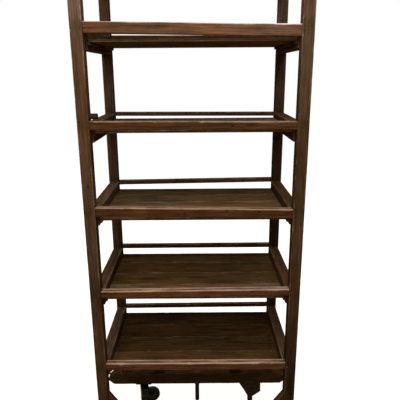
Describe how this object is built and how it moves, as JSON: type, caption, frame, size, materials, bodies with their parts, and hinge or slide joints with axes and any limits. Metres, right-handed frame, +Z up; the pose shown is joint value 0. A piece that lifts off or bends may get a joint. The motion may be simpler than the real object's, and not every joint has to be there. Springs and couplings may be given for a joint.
{
  "type": "bread rack",
  "caption": "Tall open timber rack with board shelves between low rails, on cross bolsters with iron swivel casters.",
  "frame": {"origin": "on the floor under the middle of the rack", "axes": "+Z up, the open front faces -Y, +X to the right seen from the front"},
  "size_m": [0.814, 0.5766, 1.955],
  "materials": {
    "post_timber": "worn, oiled, dark stained",
    "rail_timber": "worn, dark stained, rubbed pale on upper edges",
    "board_timber": "dark, greyed, rubbed",
    "base_timber": "dark and dusty",
    "peg_timber": "dark end grain",
    "cast_iron": "bare, dark, slightly rusted",
    "wheel_iron": "cast, tread worn smooth",
    "wrought_iron": "bare, dull"
  },
  "bodies": {
    "rack": {"front_left_post": "post_timber", "front_right_post": "post_timber", "front_bolster": "base_timber", "front_knee_braces": "base_timber", "rear_left_post": "post_timber", "rear_right_post": "post_timber", "rear_bolster": "base_timber", "rear_knee_braces": "base_timber", "rail_pegs": "peg_timber", "stub_peg": "peg_timber", "prop_bush": "wrought_iron", "front_rail_1": "rail_timber", "rear_guard_1": "rail_timber", "left_side_rail_1": "rail_timber", "right_side_rail_1": "rail_timber", "shelf_boards_1": "board_timber", "front_rail_2": "rail_timber", "rear_guard_2": "rail_timber", "left_side_rail_2": "rail_timber", "right_side_rail_2": "rail_timber", "shelf_boards_2": "board_timber", "front_rail_3": "rail_timber", "rear_guard_3": "rail_timber", "left_side_rail_3": "rail_timber", "right_side_rail_3": "rail_timber", "shelf_boards_3": "board_timber", "front_rail_4": "rail_timber", "rear_guard_4": "rail_timber", "left_side_rail_4": "rail_timber", "right_side_rail_4": "rail_timber", "shelf_boards_4": "board_timber", "front_rail_5": "rail_timber", "rear_guard_5": "rail_timber", "left_side_rail_5": "rail_timber", "right_side_rail_5": "rail_timber", "shelf_boards_5": "board_timber", "front_rail_6": "rail_timber", "rear_guard_6": "rail_timber", "left_side_rail_6": "rail_timber", "right_side_rail_6": "rail_timber", "shelf_boards_6": "board_timber", "shelf_cleats": "rail_timber", "front_left_caster_plate": "cast_iron", "front_right_caster_plate": "cast_iron", "rear_left_caster_plate": "cast_iron", "rear_right_caster_plate": "cast_iron", "caster_screws": "wrought_iron"},
    "prop": {"prop_rod": "wrought_iron"},
    "front_left_caster": {"front_left_caster_yoke": "cast_iron", "front_left_caster_axle": "wrought_iron"},
    "front_left_wheel": {"front_left_caster_wheel": "wheel_iron"},
    "front_right_caster": {"front_right_caster_yoke": "cast_iron", "front_right_caster_axle": "wrought_iron"},
    "front_right_wheel": {"front_right_caster_wheel": "wheel_iron"},
    "rear_left_caster": {"rear_left_caster_yoke": "cast_iron", "rear_left_caster_axle": "wrought_iron"},
    "rear_left_wheel": {"rear_left_caster_wheel": "wheel_iron"},
    "rear_right_caster": {"rear_right_caster_yoke": "cast_iron", "rear_right_caster_axle": "wrought_iron"},
    "rear_right_wheel": {"rear_right_caster_wheel": "wheel_iron"}
  },
  "joints": [
    {"name": "prop_screw_down", "type": "slide", "parent": "rack", "child": "prop", "axis": [0, 0, -1], "range_m": [0, 0.01]},
    {"name": "front_left_swivel", "type": "hinge", "parent": "rack", "child": "front_left_caster", "pos_m": [-0.248, -0.216, 0.1], "axis": [0, 0, 1], "continuous": true},
    {"name": "front_left_roll", "type": "hinge", "parent": "front_left_caster", "child": "front_left_wheel", "pos_m": [-0.25037, -0.24992, 0.038], "axis": [0.9976, -0.0698, 0], "continuous": true},
    {"name": "front_right_swivel", "type": "hinge", "parent": "rack", "child": "front_right_caster", "pos_m": [0.248, -0.216, 0.1], "axis": [0, 0, 1], "continuous": true},
    {"name": "front_right_roll", "type": "hinge", "parent": "front_right_caster", "child": "front_right_wheel", "pos_m": [0.21433, -0.22073, 0.038], "axis": [0.1392, -0.9903, 0], "continuous": true},
    {"name": "rear_left_swivel", "type": "hinge", "parent": "rack", "child": "rear_left_caster", "pos_m": [-0.248, 0.216, 0.1], "axis": [0, 0, 1], "continuous": true},
    {"name": "rear_left_roll", "type": "hinge", "parent": "rear_left_caster", "child": "rear_left_wheel", "pos_m": [-0.21487, 0.22365, 0.038], "axis": [-0.225, 0.9744, 0], "continuous": true},
    {"name": "rear_right_swivel", "type": "hinge", "parent": "rack", "child": "rear_right_caster", "pos_m": [0.248, 0.216, 0.1], "axis": [0, 0, 1], "continuous": true},
    {"name": "rear_right_roll", "type": "hinge", "parent": "rear_right_caster", "child": "rear_right_wheel", "pos_m": [0.25037, 0.24992, 0.038], "axis": [-0.9976, 0.0698, 0], "continuous": true}
  ]
}
